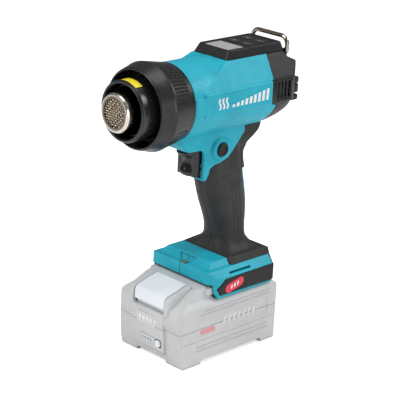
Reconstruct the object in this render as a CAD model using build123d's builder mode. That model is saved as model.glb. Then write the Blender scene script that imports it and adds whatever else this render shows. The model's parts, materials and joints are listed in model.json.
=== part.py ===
"""Cordless heat gun standing on its battery pack.

Millimetres. The pack's feet stand on Z = 0 and the outlet points along -Y. X = 0 is the plane in
which the housing halves meet, and +X is the tool's left side as its user holds it.
"""

import os
from math import cos, radians, sin

from build123d import *

os.makedirs("parts", exist_ok=True)

# --- Driving dimensions -------------------------------------------------------------------------
FIT = 0.08  # radial play of a running fit
GAP = 0.4  # play round pieces that only pass each other
WALL = 2.5  # moulded wall

# Barrel
AXIS_Z = 228.0  # height of the barrel axis
BODY_R = 33.4
BODY_FRONT = -52.5
BODY_REAR = 41.0
PANEL_X = 34.0  # half width over the flat side panels
BAND_X = 33.6  # half width over the bands in front of them
PANEL_LOW, PANEL_HIGH = 219.0, 240.0
BORE_R = 30.8  # inside of the barrel
CROWN_Z = 260.6  # top of the barrel, where the display sits
CROWN_X = 21.0

# Outlet
NOZZLE_R = 16.5
NOZZLE_TIP = -111.5
NOZZLE_LIP = 12.2  # radius of the opening that the mesh fills
GUARD_R = 25.9
GUARD_TIP = -103.3
RING_TIP = -90.3
RING_TIP_R = 34.1
RING_MAX_Y = -77.1
RING_MAX_R = 37.7
RING_REAR = -52.9
RING_REAR_R = 33.6
COLLAR_R = 28.6  # collar of the housing that the ring turns on

# Fan and heater
FAN_HOUSING_R = 28.0
MOTOR_R = 18.3
SHAFT_R = 1.6
IMPELLER_R = 25.6
CORE_R = 14.4
SLEEVE_R = 15.6

# Handle and neck
GRIP_X = 16.5
GRIP_SKIN = 2.0
NECK_X = 18.4
WEB_X = 15.4  # half width of the grip's web behind the neck
BUTTON_Y, BUTTON_Z, BUTTON_R = -5.4, 183.5, 6.0
BOSS_X = 20.4  # half width over the bosses round the lock button
TRIGGER_X, TRIGGER_REAR = 11.8, -21.2

# Foot
FOOT_X = 34.0
FOOT_FRONT, FOOT_REAR = -30.0, 46.0
SKIRT_X = 39.7
SKIRT_LOW, SKIRT_HIGH = 56.4, 74.0
FLOOR_LOW, FLOOR_HIGH = 69.4, 72.4
SHELF_Z = 81.0
PLATEAU_Z = 86.0

# Battery pack
PACK_X = 38.9
PACK_Y = 59.0
PACK_SPLIT = 33.0
SHOULDER_Z = 56.0
RAIL_X = 36.0  # half width over the pack's rail flanges
CELL_R, CELL_LENGTH = 9.25, 65.0
CELL_PITCH = 19.4
CELLS_Y = -1.8  # middle of the rows of cells
LATCH_X = 18.7

BARREL = Plane((0, 0, AXIS_Z), x_dir=(0, 1, 0), z_dir=(1, 0, 0))
BARREL_AXIS = Axis((0, 0, AXIS_Z), (0, 1, 0))


def across(y):
    """Upright plane across the tool at y. Its normal points forward, so extrusions go forward."""
    return Plane.XZ.offset(-y)


def turned(*outline):
    """Solid turned about the barrel axis from (y, radius) corners."""
    with BuildPart() as solid:
        with BuildSketch(BARREL):
            with BuildLine():
                Polyline(*outline, close=True)
            make_face()
        revolve(axis=BARREL_AXIS)
    return solid.part


def side_prism(outline, half_width, inset=0.0, soften=0.0):
    """Solid as wide as 2 * half_width whose outline is seen from the side, in (y, z) corners."""
    with BuildPart() as solid:
        with BuildSketch(Plane.YZ) as sketch:
            with BuildLine():
                Polyline(*outline, close=True)
            make_face()
            if inset:
                offset(amount=-inset, kind=Kind.INTERSECTION)
            if soften:
                fillet(sketch.vertices(), soften)
        extrude(amount=half_width, both=True)
    return solid.part


def block(x0, x1, y0, y1, z0, z1, edge=0.0):
    """Box between two corners, with its upright edges rounded."""
    with BuildPart(Plane.XY.offset(z0)) as solid:
        with BuildSketch(Plane.XY.offset(z0)):
            with Locations(((x0 + x1) / 2, (y0 + y1) / 2)):
                if edge:
                    RectangleRounded(x1 - x0, y1 - y0, edge)
                else:
                    Rectangle(x1 - x0, y1 - y0)
        extrude(amount=z1 - z0)
    return solid.part


def lying_rod(x0, x1, y, z, radius):
    """Round rod along X."""
    with BuildPart() as solid:
        with BuildSketch(Plane.YZ.offset(x0)):
            with Locations((y, z)):
                Circle(radius)
        extrude(amount=x1 - x0)
    return solid.part


def coil(radius, wire, length, turns, place):
    """Helical spring of round wire, along the Z axis of its place."""
    path = Helix(pitch=length / turns, height=length, radius=radius)
    with BuildPart() as solid:
        with BuildSketch(Plane(path @ 0, z_dir=path % 0)):
            Circle(wire)
        sweep(path=path, is_frenet=True)
    return place * solid.part


def write(piece, name):
    """Label one finished piece and write its file."""
    piece.part.label = name
    export_step(piece.part, f"parts/{name}.step")


# --- Shared shapes of the housing ---------------------------------------------------------------
# Line between the teal body and the rear cover, seen from the side.
rear_line = [
    (BODY_REAR, 290),
    (BODY_REAR, PANEL_HIGH),
    (38, PANEL_HIGH),
    (38, PANEL_LOW + 0.5),
    (46, PANEL_LOW - 2),
    (44.5, 210),
    (42, 204),
    (42, 185),
    (120, 185),
    (120, 290),
]
neck_outline = [
    (-46, 202),
    (-45.5, 191),
    (-42, 186),
    (-38, 184.6),
    (-25, 184.6),
    (-22.6, 182.5),
    (-22, 176),
    (-22.4, 165),
    (-22.8, 159.4),
    (-23.4, 158.6),
    (-22.6, 157.2),
    (-19.5, 157),
    (-17, 162),
    (-15.5, 167.5),
    (-11, 170.3),
    (-5.2, 171),
    (4.2, 174.4),
    (12.1, 181.9),
    (17.8, 187.1),
    (24.7, 194),
    (23.5, 203.3),
    (20, 212),
]
web_outline = [
    (6, 160),
    (31.2, 160),
    (29, 169),
    (28.6, 175),
    (32, 181),
    (40, 186),
    (45.5, 190),
    (48, 195),
    (49, 204.3),
    (6, 204.3),
]
# The grip at each height: front and rear of its section, and its half width.
grip_sections = [
    (96, 6.5, 40.2, 17.2),
    (106, 5.8, 39.3, 16.6),
    (120, 0.8, 39.6, 16.3),
    (134, -4.8, 38.2, 16.3),
    (150, -9.4, 34.8, 16.5),
    (163, -13.5, 31.6, 16.5),
    (176, -15.5, 29.6, 16.3),
]


def barrel_section(y, inset):
    """Sketch of the barrel across y: round below, with a flat slanting crown above."""
    with BuildSketch(across(y)) as section:
        with Locations((0, AXIS_Z)):
            Circle(BODY_R - inset)
        with BuildLine():
            Polyline(
                (CROWN_X - inset, CROWN_Z - inset),
                (31.8 - inset, PANEL_HIGH),
                (20, AXIS_Z),
                (-20, AXIS_Z),
                (-31.8 + inset, PANEL_HIGH),
                (-CROWN_X + inset, CROWN_Z - inset),
                close=True,
            )
        make_face()
    return section.sketch


def handle(inset, low, high):
    """The handle's lofted shape, inset from the grip's surface, between two heights."""
    with BuildPart() as solid:
        for z, front, rear, half in grip_sections:
            with BuildSketch(Plane.XY.offset(z)):
                with Locations((0, (front + rear) / 2)):
                    RectangleRounded(2 * (half - inset), rear - front - 2 * inset, 13.5 - inset)
        loft()
        low_face = solid.faces().sort_by(Axis.Z)[0]
        high_face = solid.faces().sort_by(Axis.Z)[-1]
        if low < grip_sections[0][0]:
            extrude(low_face, amount=grip_sections[0][0] - low)
        if high > grip_sections[-1][0]:
            extrude(high_face, amount=high - grip_sections[-1][0])
    return solid.part


# --- Envelope of the rear cover ------------------------------------------------------------------
cover_side = [
    (30, PANEL_LOW),
    (79.4, PANEL_LOW),
    (79.6, 237),
    (77.3, 245.8),
    (74, 251.7),
    (66, 255.2),
    (62, CROWN_Z),
    (30, CROWN_Z),
]
HOOK_Y, HOOK_Z, WIRE_R = 67.2, 257.6, 1.9
HOOK_X, HOOK_TOP = 20.4, 271.6
HOOK_END_X = 15.2  # the wire's ends stay in the lugs
fin_heights = [(228.8, 233.2), (220.4, 227.2), (213.8, 217.4)]

with BuildPart() as cover_outside:
    extrude(barrel_section(85, 0.4), amount=85 - 30)
    add(side_prism(cover_side, 60), mode=Mode.INTERSECT)
    add(turned((30, 0), (30, 33), (49, 32.6), (61.6, 30.6), (70.5, 28.2), (76, 24.5), (79.6, 19), (79.6, 0)))
    add(block(-40, 40, 20, 90, CROWN_Z, 280), mode=Mode.SUBTRACT)
    # Seen from above the cover's sides round in to its back.
    with BuildSketch(Plane.XY.offset(190)):
        with Locations((0, 44)):
            RectangleRounded(2 * (BODY_R - 0.4), 71.2, 22)
    extrude(amount=80, mode=Mode.INTERSECT)
    add(side_prism(rear_line, 60), mode=Mode.INTERSECT)

# --- Outside of the teal housing, before it is hollowed and split --------------------------------
neck_plan = [
    (0, -47.5),
    (9.5, -45.5),
    (13.6, -38),
    (15, -26),
    (17.2, -15),
    (NECK_X, -4),
    (NECK_X, 8),
    (17.2, 20),
    (16.6, 30),
]
with BuildPart() as neck:
    add(side_prism(neck_outline, NECK_X))
    # Seen from above the neck is narrow at its nose and full round the lock button.
    with BuildSketch(Plane.XY.offset(150)):
        with BuildLine():
            for side in (-1, 1):
                Spline(*[(side * x, y) for x, y in neck_plan])
            Line((-neck_plan[-1][0], neck_plan[-1][1]), neck_plan[-1])
        make_face()
    extrude(amount=70, mode=Mode.INTERSECT)

with BuildPart() as barrel:
    extrude(barrel_section(BODY_REAR + 6, 0), amount=BODY_REAR + 6 - BODY_FRONT)
    # The crown slopes down to the round front along one plane.
    above_slope = [(BODY_FRONT - 1, 234), (-42, 240), (-7, CROWN_Z), (-7, 300), (BODY_FRONT - 1, 300)]
    add(side_prism(above_slope, 60), mode=Mode.SUBTRACT)
    add(turned((BODY_FRONT, 0), (BODY_FRONT, BODY_R), (BODY_REAR, BODY_R), (BODY_REAR, 0)))
    # Flat side panels stand proud of the round barrel, with a lower band in front of them.
    with BuildSketch(Plane.YZ):
        with Locations(((BODY_REAR - 41) / 2, (PANEL_LOW + PANEL_HIGH) / 2)):
            Rectangle(BODY_REAR + 41, PANEL_HIGH - PANEL_LOW)
    extrude(amount=PANEL_X, both=True)
    lengthwise = barrel.edges().filter_by(Axis.Y)
    chamfer(lengthwise.filter_by(lambda edge: abs(abs(edge.center().X) - PANEL_X) < 0.01), 1.2)
    add(block(-BAND_X, BAND_X, BODY_FRONT + 1, -38, 222.4, 236.4))
    add(side_prism(rear_line, 60), mode=Mode.SUBTRACT)
    add(block(-40, 40, -6.5, 60, CROWN_Z, 280), mode=Mode.SUBTRACT)

with BuildPart() as foot:
    # Skirts and sides, seen from the front.
    with BuildSketch(across(FOOT_REAR)):
        with BuildLine():
            Polyline(
                (-FOOT_X, SHELF_Z),
                (-SKIRT_X, SKIRT_HIGH),
                (-SKIRT_X, SKIRT_LOW),
                (SKIRT_X, SKIRT_LOW),
                (SKIRT_X, SKIRT_HIGH),
                (FOOT_X, SHELF_Z),
                close=True,
            )
        make_face()
    extrude(amount=FOOT_REAR - FOOT_FRONT)
    # The sides run in to the front wall, and the skirts' front edges lean back.
    with BuildSketch(Plane.XY.offset(SKIRT_LOW)):
        with BuildLine():
            Polyline(
                (-SKIRT_X - 1, -20),
                (-33.6, FOOT_FRONT),
                (33.6, FOOT_FRONT),
                (SKIRT_X + 1, -20),
                (SKIRT_X + 1, FOOT_REAR + 1),
                (-SKIRT_X - 1, FOOT_REAR + 1),
                close=True,
            )
        make_face()
    extrude(amount=40, mode=Mode.INTERSECT)
    before_skirts = [
        (FOOT_FRONT - 5, 50),
        (-20.5, 50),
        (-20.5, SKIRT_LOW),
        (-29.5, 70.2),
        (FOOT_FRONT - 5, 70.2),
    ]
    add(side_prism(before_skirts, 60), mode=Mode.SUBTRACT)
    # Front top: bevels run up to a level plateau.
    with BuildSketch(Plane.XY.offset(77.7)):
        with Locations((0, 8)):
            Rectangle(67.2, 76)
    with BuildSketch(Plane.XY.offset(PLATEAU_Z)):
        with Locations((0, 10)):
            Rectangle(54, 56)
    loft()
    add(side_prism([(0, SHELF_Z), (0, 120), (60, 120), (60, SHELF_Z)], 60), mode=Mode.SUBTRACT)

with BuildPart() as housing_outside:
    add(barrel.part)
    add(neck.part)
    add(side_prism(web_outline, WEB_X - GRIP_SKIN, inset=GRIP_SKIN))
    add(cover_outside.part, mode=Mode.SUBTRACT)
    add(handle(GRIP_SKIN, 75, 185))
    add(foot.part)
    # Bosses round the lock button.
    with BuildSketch(Plane.YZ):
        with Locations((BUTTON_Y, BUTTON_Z)):
            Circle(10.4)
    extrude(amount=BOSS_X, both=True)
    circles = housing_outside.edges().filter_by(GeomType.CIRCLE)
    chamfer(circles.filter_by(lambda edge: abs(abs(edge.center().X) - BOSS_X) < 0.01), 1.6)
    # Collar for the turning ring.
    add(turned((-60.5, 0), (-60.5, COLLAR_R), (BODY_FRONT, COLLAR_R), (BODY_FRONT, 0)))


# --- Space inside the housing --------------------------------------------------------------------
with BuildPart() as pocket:
    add(block(-TRIGGER_X - GAP, TRIGGER_X + GAP, -25.6, -13.6, 159.4, 185.2))
    add(block(-5.5, 5.5, -16, -6, 162.5, 173.5))
trigger_pocket = pocket.part
screw_places = [(-36, 190.5), (33, 190), (18, 126), (-17.3, 77.2), (39.8, 77)]
bumper_outline = [(-18.7, 59.1), (48, 58.3), (48, 73.6), (-12.4, 73.3), (-22.4, 65.7)]

with BuildPart() as housing_inside:
    add(turned((-50, 0), (-50, BORE_R), (BODY_REAR + 10, BORE_R), (BODY_REAR + 10, 0)))
    add(turned((-62, 0), (-62, 24), (-49, 24), (-49, 0)))
    extrude(barrel_section(BODY_REAR + 10, BODY_R - BORE_R), amount=BODY_REAR + 14)
    add(block(-13.5, 13.5, -17, 20, 172, 205))
    add(side_prism(web_outline, 11, inset=GRIP_SKIN + WALL))
    add(handle(GRIP_SKIN + WALL, FLOOR_HIGH + 0.5, 184))
    add(block(-31.2, 31.2, FOOT_FRONT + WALL, 43.4, FLOOR_HIGH, 77.2))
    add(block(-29, 29, -24, 43.4, FLOOR_HIGH, SHELF_Z - WALL))
    add(block(-23.5, 23.5, -15, -1, FLOOR_HIGH, PLATEAU_Z - WALL))

# Stripe of the housing that shows through the back of the grip.
stripe_outline = [(25.6, 156), (32, 134), (35.1, 120), (38, 112), (50, 112), (50, 156)]
with BuildPart() as stripe:
    add(handle(0, 112, 156))
    add(side_prism(stripe_outline, GRIP_X + 2), mode=Mode.INTERSECT)

with BuildPart() as housing:
    add(housing_outside.part)
    add(stripe.part)
    add(housing_inside.part, mode=Mode.SUBTRACT)
    # Posts for the screws, and two rings that hold the fan housing.
    with BuildPart(mode=Mode.PRIVATE) as inner_frame:
        for y, z in screw_places:
            add(lying_rod(-40, 40, y, z, 4.4))
        for y in (0, 34):
            add(turned((y, FAN_HOUSING_R), (y, BORE_R + 1), (y + 2, BORE_R + 1), (y + 2, FAN_HOUSING_R)))
        add(housing_outside.part, mode=Mode.INTERSECT)
    add(inner_frame.part)
    # Trigger pocket and the way through for its plunger.
    add(trigger_pocket, mode=Mode.SUBTRACT)
    add(lying_rod(-30, 30, BUTTON_Y, BUTTON_Z, BUTTON_R + FIT), mode=Mode.SUBTRACT)
    # Screw holes: pilot to the left, head recess to the right.
    for y, z in screw_places:
        add(lying_rod(-12, 9, y, z, 1.55), mode=Mode.SUBTRACT)
        add(lying_rod(-45, -9, y, z, 3.2), mode=Mode.SUBTRACT)
    # Room for the pack's rails below the floor, with the foot's own rails left in it.
    add(block(-RAIL_X - 0.6, RAIL_X + 0.6, FOOT_FRONT - 2, 44, 50, FLOOR_LOW), mode=Mode.SUBTRACT)
    for side in (-1, 1):
        rail = sorted((side * (RAIL_X - 4.4), side * (RAIL_X + 0.6)))
        add(block(*rail, -18, 44, SKIRT_LOW + 0.2, SKIRT_LOW + 4.2))
        # Vent through the side, and the recess that holds the bumper.
        slot = sorted((side * 30, side * 42))
        add(block(*slot, -6, 20, 75.6, 77.2), mode=Mode.SUBTRACT)
        with BuildSketch(Plane.YZ.offset(side * 38.4)):
            with BuildLine():
                Polyline(*bumper_outline, close=True)
            make_face()
        extrude(amount=side * 4, mode=Mode.SUBTRACT)
    # Opening of the terminal block, the lamp's recess and its hole.
    add(block(-20, 20, 4, 34, FLOOR_LOW - 1, FLOOR_HIGH + 1), mode=Mode.SUBTRACT)
    with BuildSketch(Plane.XY.offset(79.2)):
        with Locations((0, -25.2)):
            Rectangle(9, 6.6)
    with BuildSketch(Plane.XY.offset(85)):
        with Locations((0, -24.4)):
            Rectangle(21, 14)
    loft(mode=Mode.SUBTRACT)
    add(block(-2.6, 2.6, -27.8, -22.6, 75, 80), mode=Mode.SUBTRACT)
    # Hole for the display's leads.
    add(block(-5, 5, 22, 36, 255, 265), mode=Mode.SUBTRACT)

left_space = block(0, 60, -140, 120, -5, 300)
with BuildPart() as left_housing:
    add(housing.part)
    add(left_space, mode=Mode.INTERSECT)
write(left_housing, "left_housing")
with BuildPart() as right_housing:
    add(housing.part)
    add(left_space, mode=Mode.SUBTRACT)
write(right_housing, "right_housing")

with BuildPart() as housing_screws:
    for y, z in screw_places:
        add(lying_rod(-9, 8, y, z, 1.5))
        add(lying_rod(-11.4, -9, y, z, 2.9))
    with BuildSketch(Plane.YZ.offset(-11.4)):
        with Locations(*screw_places):
            RegularPolygon(1.3, 6)
    extrude(amount=1.4, mode=Mode.SUBTRACT)
write(housing_screws, "housing_screws")

# --- Rear cover, intake and hook ------------------------------------------------------------------
with BuildPart() as rear_cover:
    add(cover_outside.part)
    # Fins that guard the intake.
    for low, high in fin_heights:
        with BuildSketch(Plane.XY.offset(low)):
            with Locations((0, 76)):
                RectangleRounded(44, 24, 7)
        extrude(amount=high - low)
    # Inside, stopping short of the back.
    add(turned((30, 0), (30, 29.2), (62, 28.4), (70, 26), (76, 21.5), (76, 0)), mode=Mode.SUBTRACT)
    with BuildPart(mode=Mode.PRIVATE) as crown_space:
        extrude(barrel_section(62, 3.2), amount=32)
    add(crown_space.part, mode=Mode.SUBTRACT)
    # Intake slots between the fins, and vents in the sides.
    for low, high in ((233.2, 236), (227.2, 228.8), (217.4, 220.4)):
        add(block(-19, 19, 72, 82.5, low, high), mode=Mode.SUBTRACT)
    for side in (-1, 1):
        recess = sorted((side * 31.4, side * 40))
        add(block(*recess, 45, 63, PANEL_LOW + 1, PANEL_HIGH - 1), mode=Mode.SUBTRACT)
        vent = sorted((side * 26, side * 40))
        for y in (48, 52.5, 57, 61.5):
            add(block(*vent, y - 0.9, y + 0.9, PANEL_LOW + 3, PANEL_HIGH - 3), mode=Mode.SUBTRACT)
    # Lugs that carry the hook.
    for side in (-1, 1):
        lug = sorted((side * 14.2, side * 18))
        add(block(*lug, HOOK_Y - 3, HOOK_Y + 3.6, 254, HOOK_Z + 3.2, 1))
    add(lying_rod(-30, 30, HOOK_Y, HOOK_Z, WIRE_R + FIT), mode=Mode.SUBTRACT)
write(rear_cover, "rear_cover")

# --- Grips ------------------------------------------------------------------------------------------
# Foot of the grip, flaring into the skirt: height, half width, front, rear and corner radius.
flare_sections = [
    (85, 27.5, 1.5, 46, 6),
    (88, 22.6, 2.6, 43.6, 9),
    (92, 18.9, 4.8, 41.4, 12),
    (98.5, 16.3, 7.4, 39.2, 12.8),
]
with BuildPart() as grip_outside:
    add(side_prism(web_outline, WEB_X))
    web_edges = grip_outside.edges()
    rear_edges = web_edges.filter_by(lambda edge: abs(edge.center().X) > 15 and edge.center().Y > 28)
    chamfer(rear_edges, 3)
    add(handle(0, 92, 184))
    # Skirt of the grip over the back of the foot.
    for y, top_x, top_z in ((0.1, 27, PLATEAU_Z), (47.8, 31.6, PLATEAU_Z + 0.8)):
        with BuildSketch(across(y)):
            Polygon((-33.8, SHELF_Z), (-top_x, top_z), (top_x, top_z), (33.8, SHELF_Z), align=None)
    loft(ruled=True)
    for z, half, front, rear, corner in flare_sections:
        with BuildSketch(Plane.XY.offset(z)):
            with Locations((0, (front + rear) / 2)):
                RectangleRounded(2 * half, rear - front, corner)
    loft()
with BuildPart() as grip:
    add(grip_outside.part)
    add(housing_outside.part, mode=Mode.SUBTRACT)
    add(barrel.part, mode=Mode.SUBTRACT)
    # Opening for the housing's stripe, and room for the rear cover above.
    add(side_prism(stripe_outline, GRIP_X + 2), mode=Mode.SUBTRACT)
    add(cover_outside.part, mode=Mode.SUBTRACT)
    add(turned((20, 0), (20, BORE_R), (50, BORE_R), (50, 0)), mode=Mode.SUBTRACT)
    # The trigger's pocket reaches into the grip.
    add(trigger_pocket, mode=Mode.SUBTRACT)
    for side in (-1, 1):
        # Recessed patch under the lock button, and ribs along the handle.
        patch = sorted((side * (GRIP_X - 0.5), side * (GRIP_X + 3)))
        add(block(*patch, -8, 11, 156.5, 169), mode=Mode.SUBTRACT)
        for shift in (12, 16.5, 21, 25.5):
            with BuildSketch(Plane.YZ.offset(side * (GRIP_X - 0.7))):
                Polygon((shift + 7, 98), (shift + 8, 98), (shift - 1, 153), (shift - 2, 153), align=None)
            extrude(amount=side * 4, mode=Mode.SUBTRACT)
with BuildPart() as left_grip:
    add(grip.part)
    add(left_space, mode=Mode.INTERSECT)
write(left_grip, "left_grip")
with BuildPart() as right_grip:
    add(grip.part)
    add(left_space, mode=Mode.SUBTRACT)
write(right_grip, "right_grip")

with BuildPart() as hanging_hook:
    with BuildLine():
        FilletPolyline(
            (HOOK_END_X, HOOK_Y, HOOK_Z),
            (HOOK_X, HOOK_Y, HOOK_Z),
            (HOOK_X, HOOK_Y, HOOK_TOP),
            (-HOOK_X, HOOK_Y, HOOK_TOP),
            (-HOOK_X, HOOK_Y, HOOK_Z),
            (-HOOK_END_X, HOOK_Y, HOOK_Z),
            radius=(2.6, 7, 7, 2.6),
        )
    with BuildSketch(Plane((HOOK_END_X, HOOK_Y, HOOK_Z), z_dir=(1, 0, 0))):
        Circle(WIRE_R)
    sweep()
write(hanging_hook, "hanging_hook")

with BuildPart() as intake_screen:
    add(turned((63.2, 0), (63.2, 27.8), (64, 27.8), (64, 0)))
    with BuildSketch(across(65)) as holes:
        with Locations((0, AXIS_Z)):
            with HexLocations(2.1, 9, 9):
                RegularPolygon(1.6, 6, major_radius=False)
    extrude(holes.sketch, amount=3, mode=Mode.SUBTRACT)
write(intake_screen, "intake_screen")

# --- Turning ring, guard tube and outlet -----------------------------------------------------------
web_low, web_high = -67.5, -64.5  # the ring's inner web
with BuildPart() as lock_ring:
    add(
        turned(
            (RING_REAR, COLLAR_R + FIT),
            (RING_REAR, RING_REAR_R),
            (-57, RING_REAR_R + 0.5),
            (RING_MAX_Y + 1.5, RING_MAX_R - 0.2),
            (RING_MAX_Y, RING_MAX_R),
            (RING_MAX_Y - 1.2, RING_MAX_R - 0.6),
            (RING_TIP + 0.8, RING_TIP_R),
            (RING_TIP, RING_TIP_R - 0.8),
            (RING_TIP, RING_TIP_R - 2),
            (RING_MAX_Y - 1, RING_MAX_R - 3),
            (web_low, 33.4),
            (web_low, GUARD_R + 0.3),
            (web_high, GUARD_R + 0.3),
            (web_high, COLLAR_R + 1.4),
            (-62.5, COLLAR_R + FIT),
        )
    )
    # Grip ribs: close together above, sparse notches below.
    with Locations(across(-66.5)):
        with Locations((0, AXIS_Z)):
            with PolarLocations(35.8, 29, start_angle=20, angular_range=145):
                Box(1.8, 1.1, 17, rotation=(0, 10.4, 0), mode=Mode.SUBTRACT)
            with PolarLocations(35.8, 7, start_angle=188, angular_range=168):
                Box(1.8, 2.6, 17, rotation=(0, 10.4, 0), mode=Mode.SUBTRACT)
write(lock_ring, "lock_ring")

with BuildPart() as guard_tube:
    add(
        turned(
            (-61.5, GUARD_R - 2.2),
            (-61.5, GUARD_R),
            (GUARD_TIP + 1.6, GUARD_R),
            (GUARD_TIP, GUARD_R - 1),
            (GUARD_TIP, GUARD_R - 2.6),
            (GUARD_TIP + 1.2, GUARD_R - 3.2),
            (-72, GUARD_R - 2.2),
        )
    )
write(guard_tube, "guard_tube")

with BuildPart() as guard_label:
    add(turned((-101, GUARD_R), (-101, GUARD_R + 0.2), (-93.5, GUARD_R + 0.2), (-93.5, GUARD_R)))
    add(block(-4, 13, -110, -90, AXIS_Z, AXIS_Z + 40), mode=Mode.INTERSECT)
write(guard_label, "guard_label")

nozzle_wall = 0.7
with BuildPart() as outlet_nozzle:
    add(
        turned(
            (-48.5, NOZZLE_R - nozzle_wall),
            (-48.5, 23),
            (-49.6, 23),
            (-49.6, NOZZLE_R),
            (NOZZLE_TIP + 1.8, NOZZLE_R),
            (NOZZLE_TIP + 0.5, NOZZLE_R - 0.5),
            (NOZZLE_TIP, NOZZLE_R - 1.6),
            (NOZZLE_TIP, NOZZLE_LIP),
            (NOZZLE_TIP + 2.2, NOZZLE_LIP),
            (NOZZLE_TIP + 2.2, NOZZLE_LIP + 0.7),
            (NOZZLE_TIP + 1, NOZZLE_LIP + 0.7),
            (NOZZLE_TIP + 1.6, NOZZLE_R - nozzle_wall),
        )
    )
write(outlet_nozzle, "outlet_nozzle")

with BuildPart() as outlet_mesh:
    mesh_front, mesh_rear, mesh_r = NOZZLE_TIP + 2.3, NOZZLE_TIP + 3.1, NOZZLE_R - 0.8
    add(turned((mesh_front, 0), (mesh_front, mesh_r), (mesh_rear, mesh_r), (mesh_rear, 0)))
    with BuildSketch(across(NOZZLE_TIP + 4)) as cells:
        with Locations((0, AXIS_Z)):
            with HexLocations(1.35, 9, 9):
                RegularPolygon(1.05, 6, major_radius=False)
    extrude(cells.sketch, amount=3, mode=Mode.SUBTRACT)
write(outlet_mesh, "outlet_mesh")

with BuildPart() as heat_shield:
    add(turned((-96, 20.4), (-96, 21), (-50.4, 21), (-50.4, 23), (-49.7, 23), (-49.7, 20.4)))
write(heat_shield, "heat_shield")

with BuildPart() as insulating_sleeve:
    add(turned((-105, CORE_R + 0.5), (-105, SLEEVE_R), (-50, SLEEVE_R), (-50, CORE_R + 0.5)))
write(insulating_sleeve, "insulating_sleeve")

channel_r = 3.4
channel_pitch_r = 9.3
channel_angles = range(0, 360, 60)
with BuildPart() as heater_core:
    add(turned((-104, 1.4), (-104, CORE_R), (-52, CORE_R), (-52, 1.4)))
    with BuildSketch(across(-50)) as bores:
        with Locations((0, AXIS_Z)):
            with PolarLocations(channel_pitch_r, len(channel_angles)):
                Circle(channel_r)
    extrude(bores.sketch, amount=60, mode=Mode.SUBTRACT)
write(heater_core, "heater_core")

with BuildPart() as heating_coils:
    for angle in channel_angles:
        across_x = channel_pitch_r * cos(radians(angle))
        above_axis = channel_pitch_r * sin(radians(angle))
        place = Location((across_x, -101, AXIS_Z + above_axis), (-90, 0, 0))
        add(coil(2.6, 0.45, 46, 11, place))
write(heating_coils, "heating_coils")

with BuildPart() as temperature_probe:
    add(turned((-106, 0), (-106.6, 0.6), (-106, 1.1), (-46, 1.1), (-46, 0)))
write(temperature_probe, "temperature_probe")

with BuildPart() as heater_holder:
    hold_r = SLEEVE_R - 0.2
    add(turned((-48.5, hold_r), (-48.5, BORE_R), (-43, BORE_R), (-43, 28), (-46, 26), (-46, hold_r)))
write(heater_holder, "heater_holder")

with BuildPart() as air_duct:
    outer_side = [(-45.9, 20), (-42, 20), (-8, 27.2), (-4.2, 27.2)]
    inner_side = [(-4.2, 25.8), (-8.5, 25.8), (-42, 18.5), (-45.9, 18.5)]
    add(turned(*outer_side, *inner_side))
write(air_duct, "air_duct")

with BuildPart() as fan_housing:
    add(turned((-4, 26.6), (-4, FAN_HOUSING_R), (60, FAN_HOUSING_R), (60, 26.6)))
    add(turned((4, MOTOR_R + FIT), (4, MOTOR_R + 1.4), (20, MOTOR_R + 1.4), (20, MOTOR_R + FIT)))
    with BuildSketch(across(20)) as vanes:
        with Locations((0, AXIS_Z)):
            with PolarLocations((MOTOR_R + 27) / 2 + 0.4, 7):
                Rectangle(27 - MOTOR_R - 0.8, 1.6)
    extrude(vanes.sketch, amount=16)
write(fan_housing, "fan_housing")

with BuildPart() as motor_can:
    can_inside = MOTOR_R - 1.3
    add(
        turned(
            (2, 5.1),
            (2, MOTOR_R),
            (40, MOTOR_R),
            (40, 5.1),
            (38.6, 5.1),
            (38.6, can_inside),
            (3.4, can_inside),
            (3.4, 5.1),
        )
    )
    with BuildSketch(across(50)) as cooling:
        with Locations((0, AXIS_Z)):
            with PolarLocations(11, 4):
                Circle(2.6)
    extrude(cooling.sketch, amount=60, mode=Mode.SUBTRACT)
write(motor_can, "motor_can")

with BuildPart() as motor_magnets:
    add(turned((9, 14.6), (9, MOTOR_R - 1.4), (34, MOTOR_R - 1.4), (34, 14.6)))
    with BuildSketch(across(40)) as splits:
        with Locations((0, AXIS_Z)):
            Rectangle(60, 7)
    extrude(splits.sketch, amount=40, mode=Mode.SUBTRACT)
write(motor_magnets, "motor_magnets")

with BuildPart() as motor_bearings:
    for y in (1.6, 37.4):
        add(turned((y, SHAFT_R + FIT), (y, 5), (y + 3, 5), (y + 3, SHAFT_R + FIT)))
write(motor_bearings, "motor_bearings")

with BuildPart() as motor_rotor:
    add(turned((0, 0), (0, SHAFT_R), (55, SHAFT_R), (55, 0)))
    add(turned((11, 0), (11, 14.1), (31, 14.1), (31, 0)))
    with BuildSketch(across(32)) as slots:
        with Locations((0, AXIS_Z)):
            with PolarLocations(13.5, 5):
                Rectangle(4, 2.4)
            with PolarLocations(9.6, 5):
                Circle(2.9)
    extrude(slots.sketch, amount=22, mode=Mode.SUBTRACT)
    add(turned((5.6, 0), (5.6, 4.2), (9.6, 4.2), (9.6, 0)))
write(motor_rotor, "motor_rotor")

blades = 9
with BuildPart() as impeller:
    add(turned((43, SHAFT_R), (43, 9), (45, 10.5), (54, 5), (54, SHAFT_R)))
    with Locations(across(49)):
        with Locations((0, AXIS_Z)):
            with PolarLocations(16.6, blades):
                Box(19, 1.4, 16, rotation=(40, 0, 0))
    add(turned((43.5, 0), (43.5, IMPELLER_R), (55, IMPELLER_R), (55, 0)), mode=Mode.INTERSECT)
    add(turned((30, 0), (30, SHAFT_R), (60, SHAFT_R), (60, 0)), mode=Mode.SUBTRACT)
write(impeller, "impeller")

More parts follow.
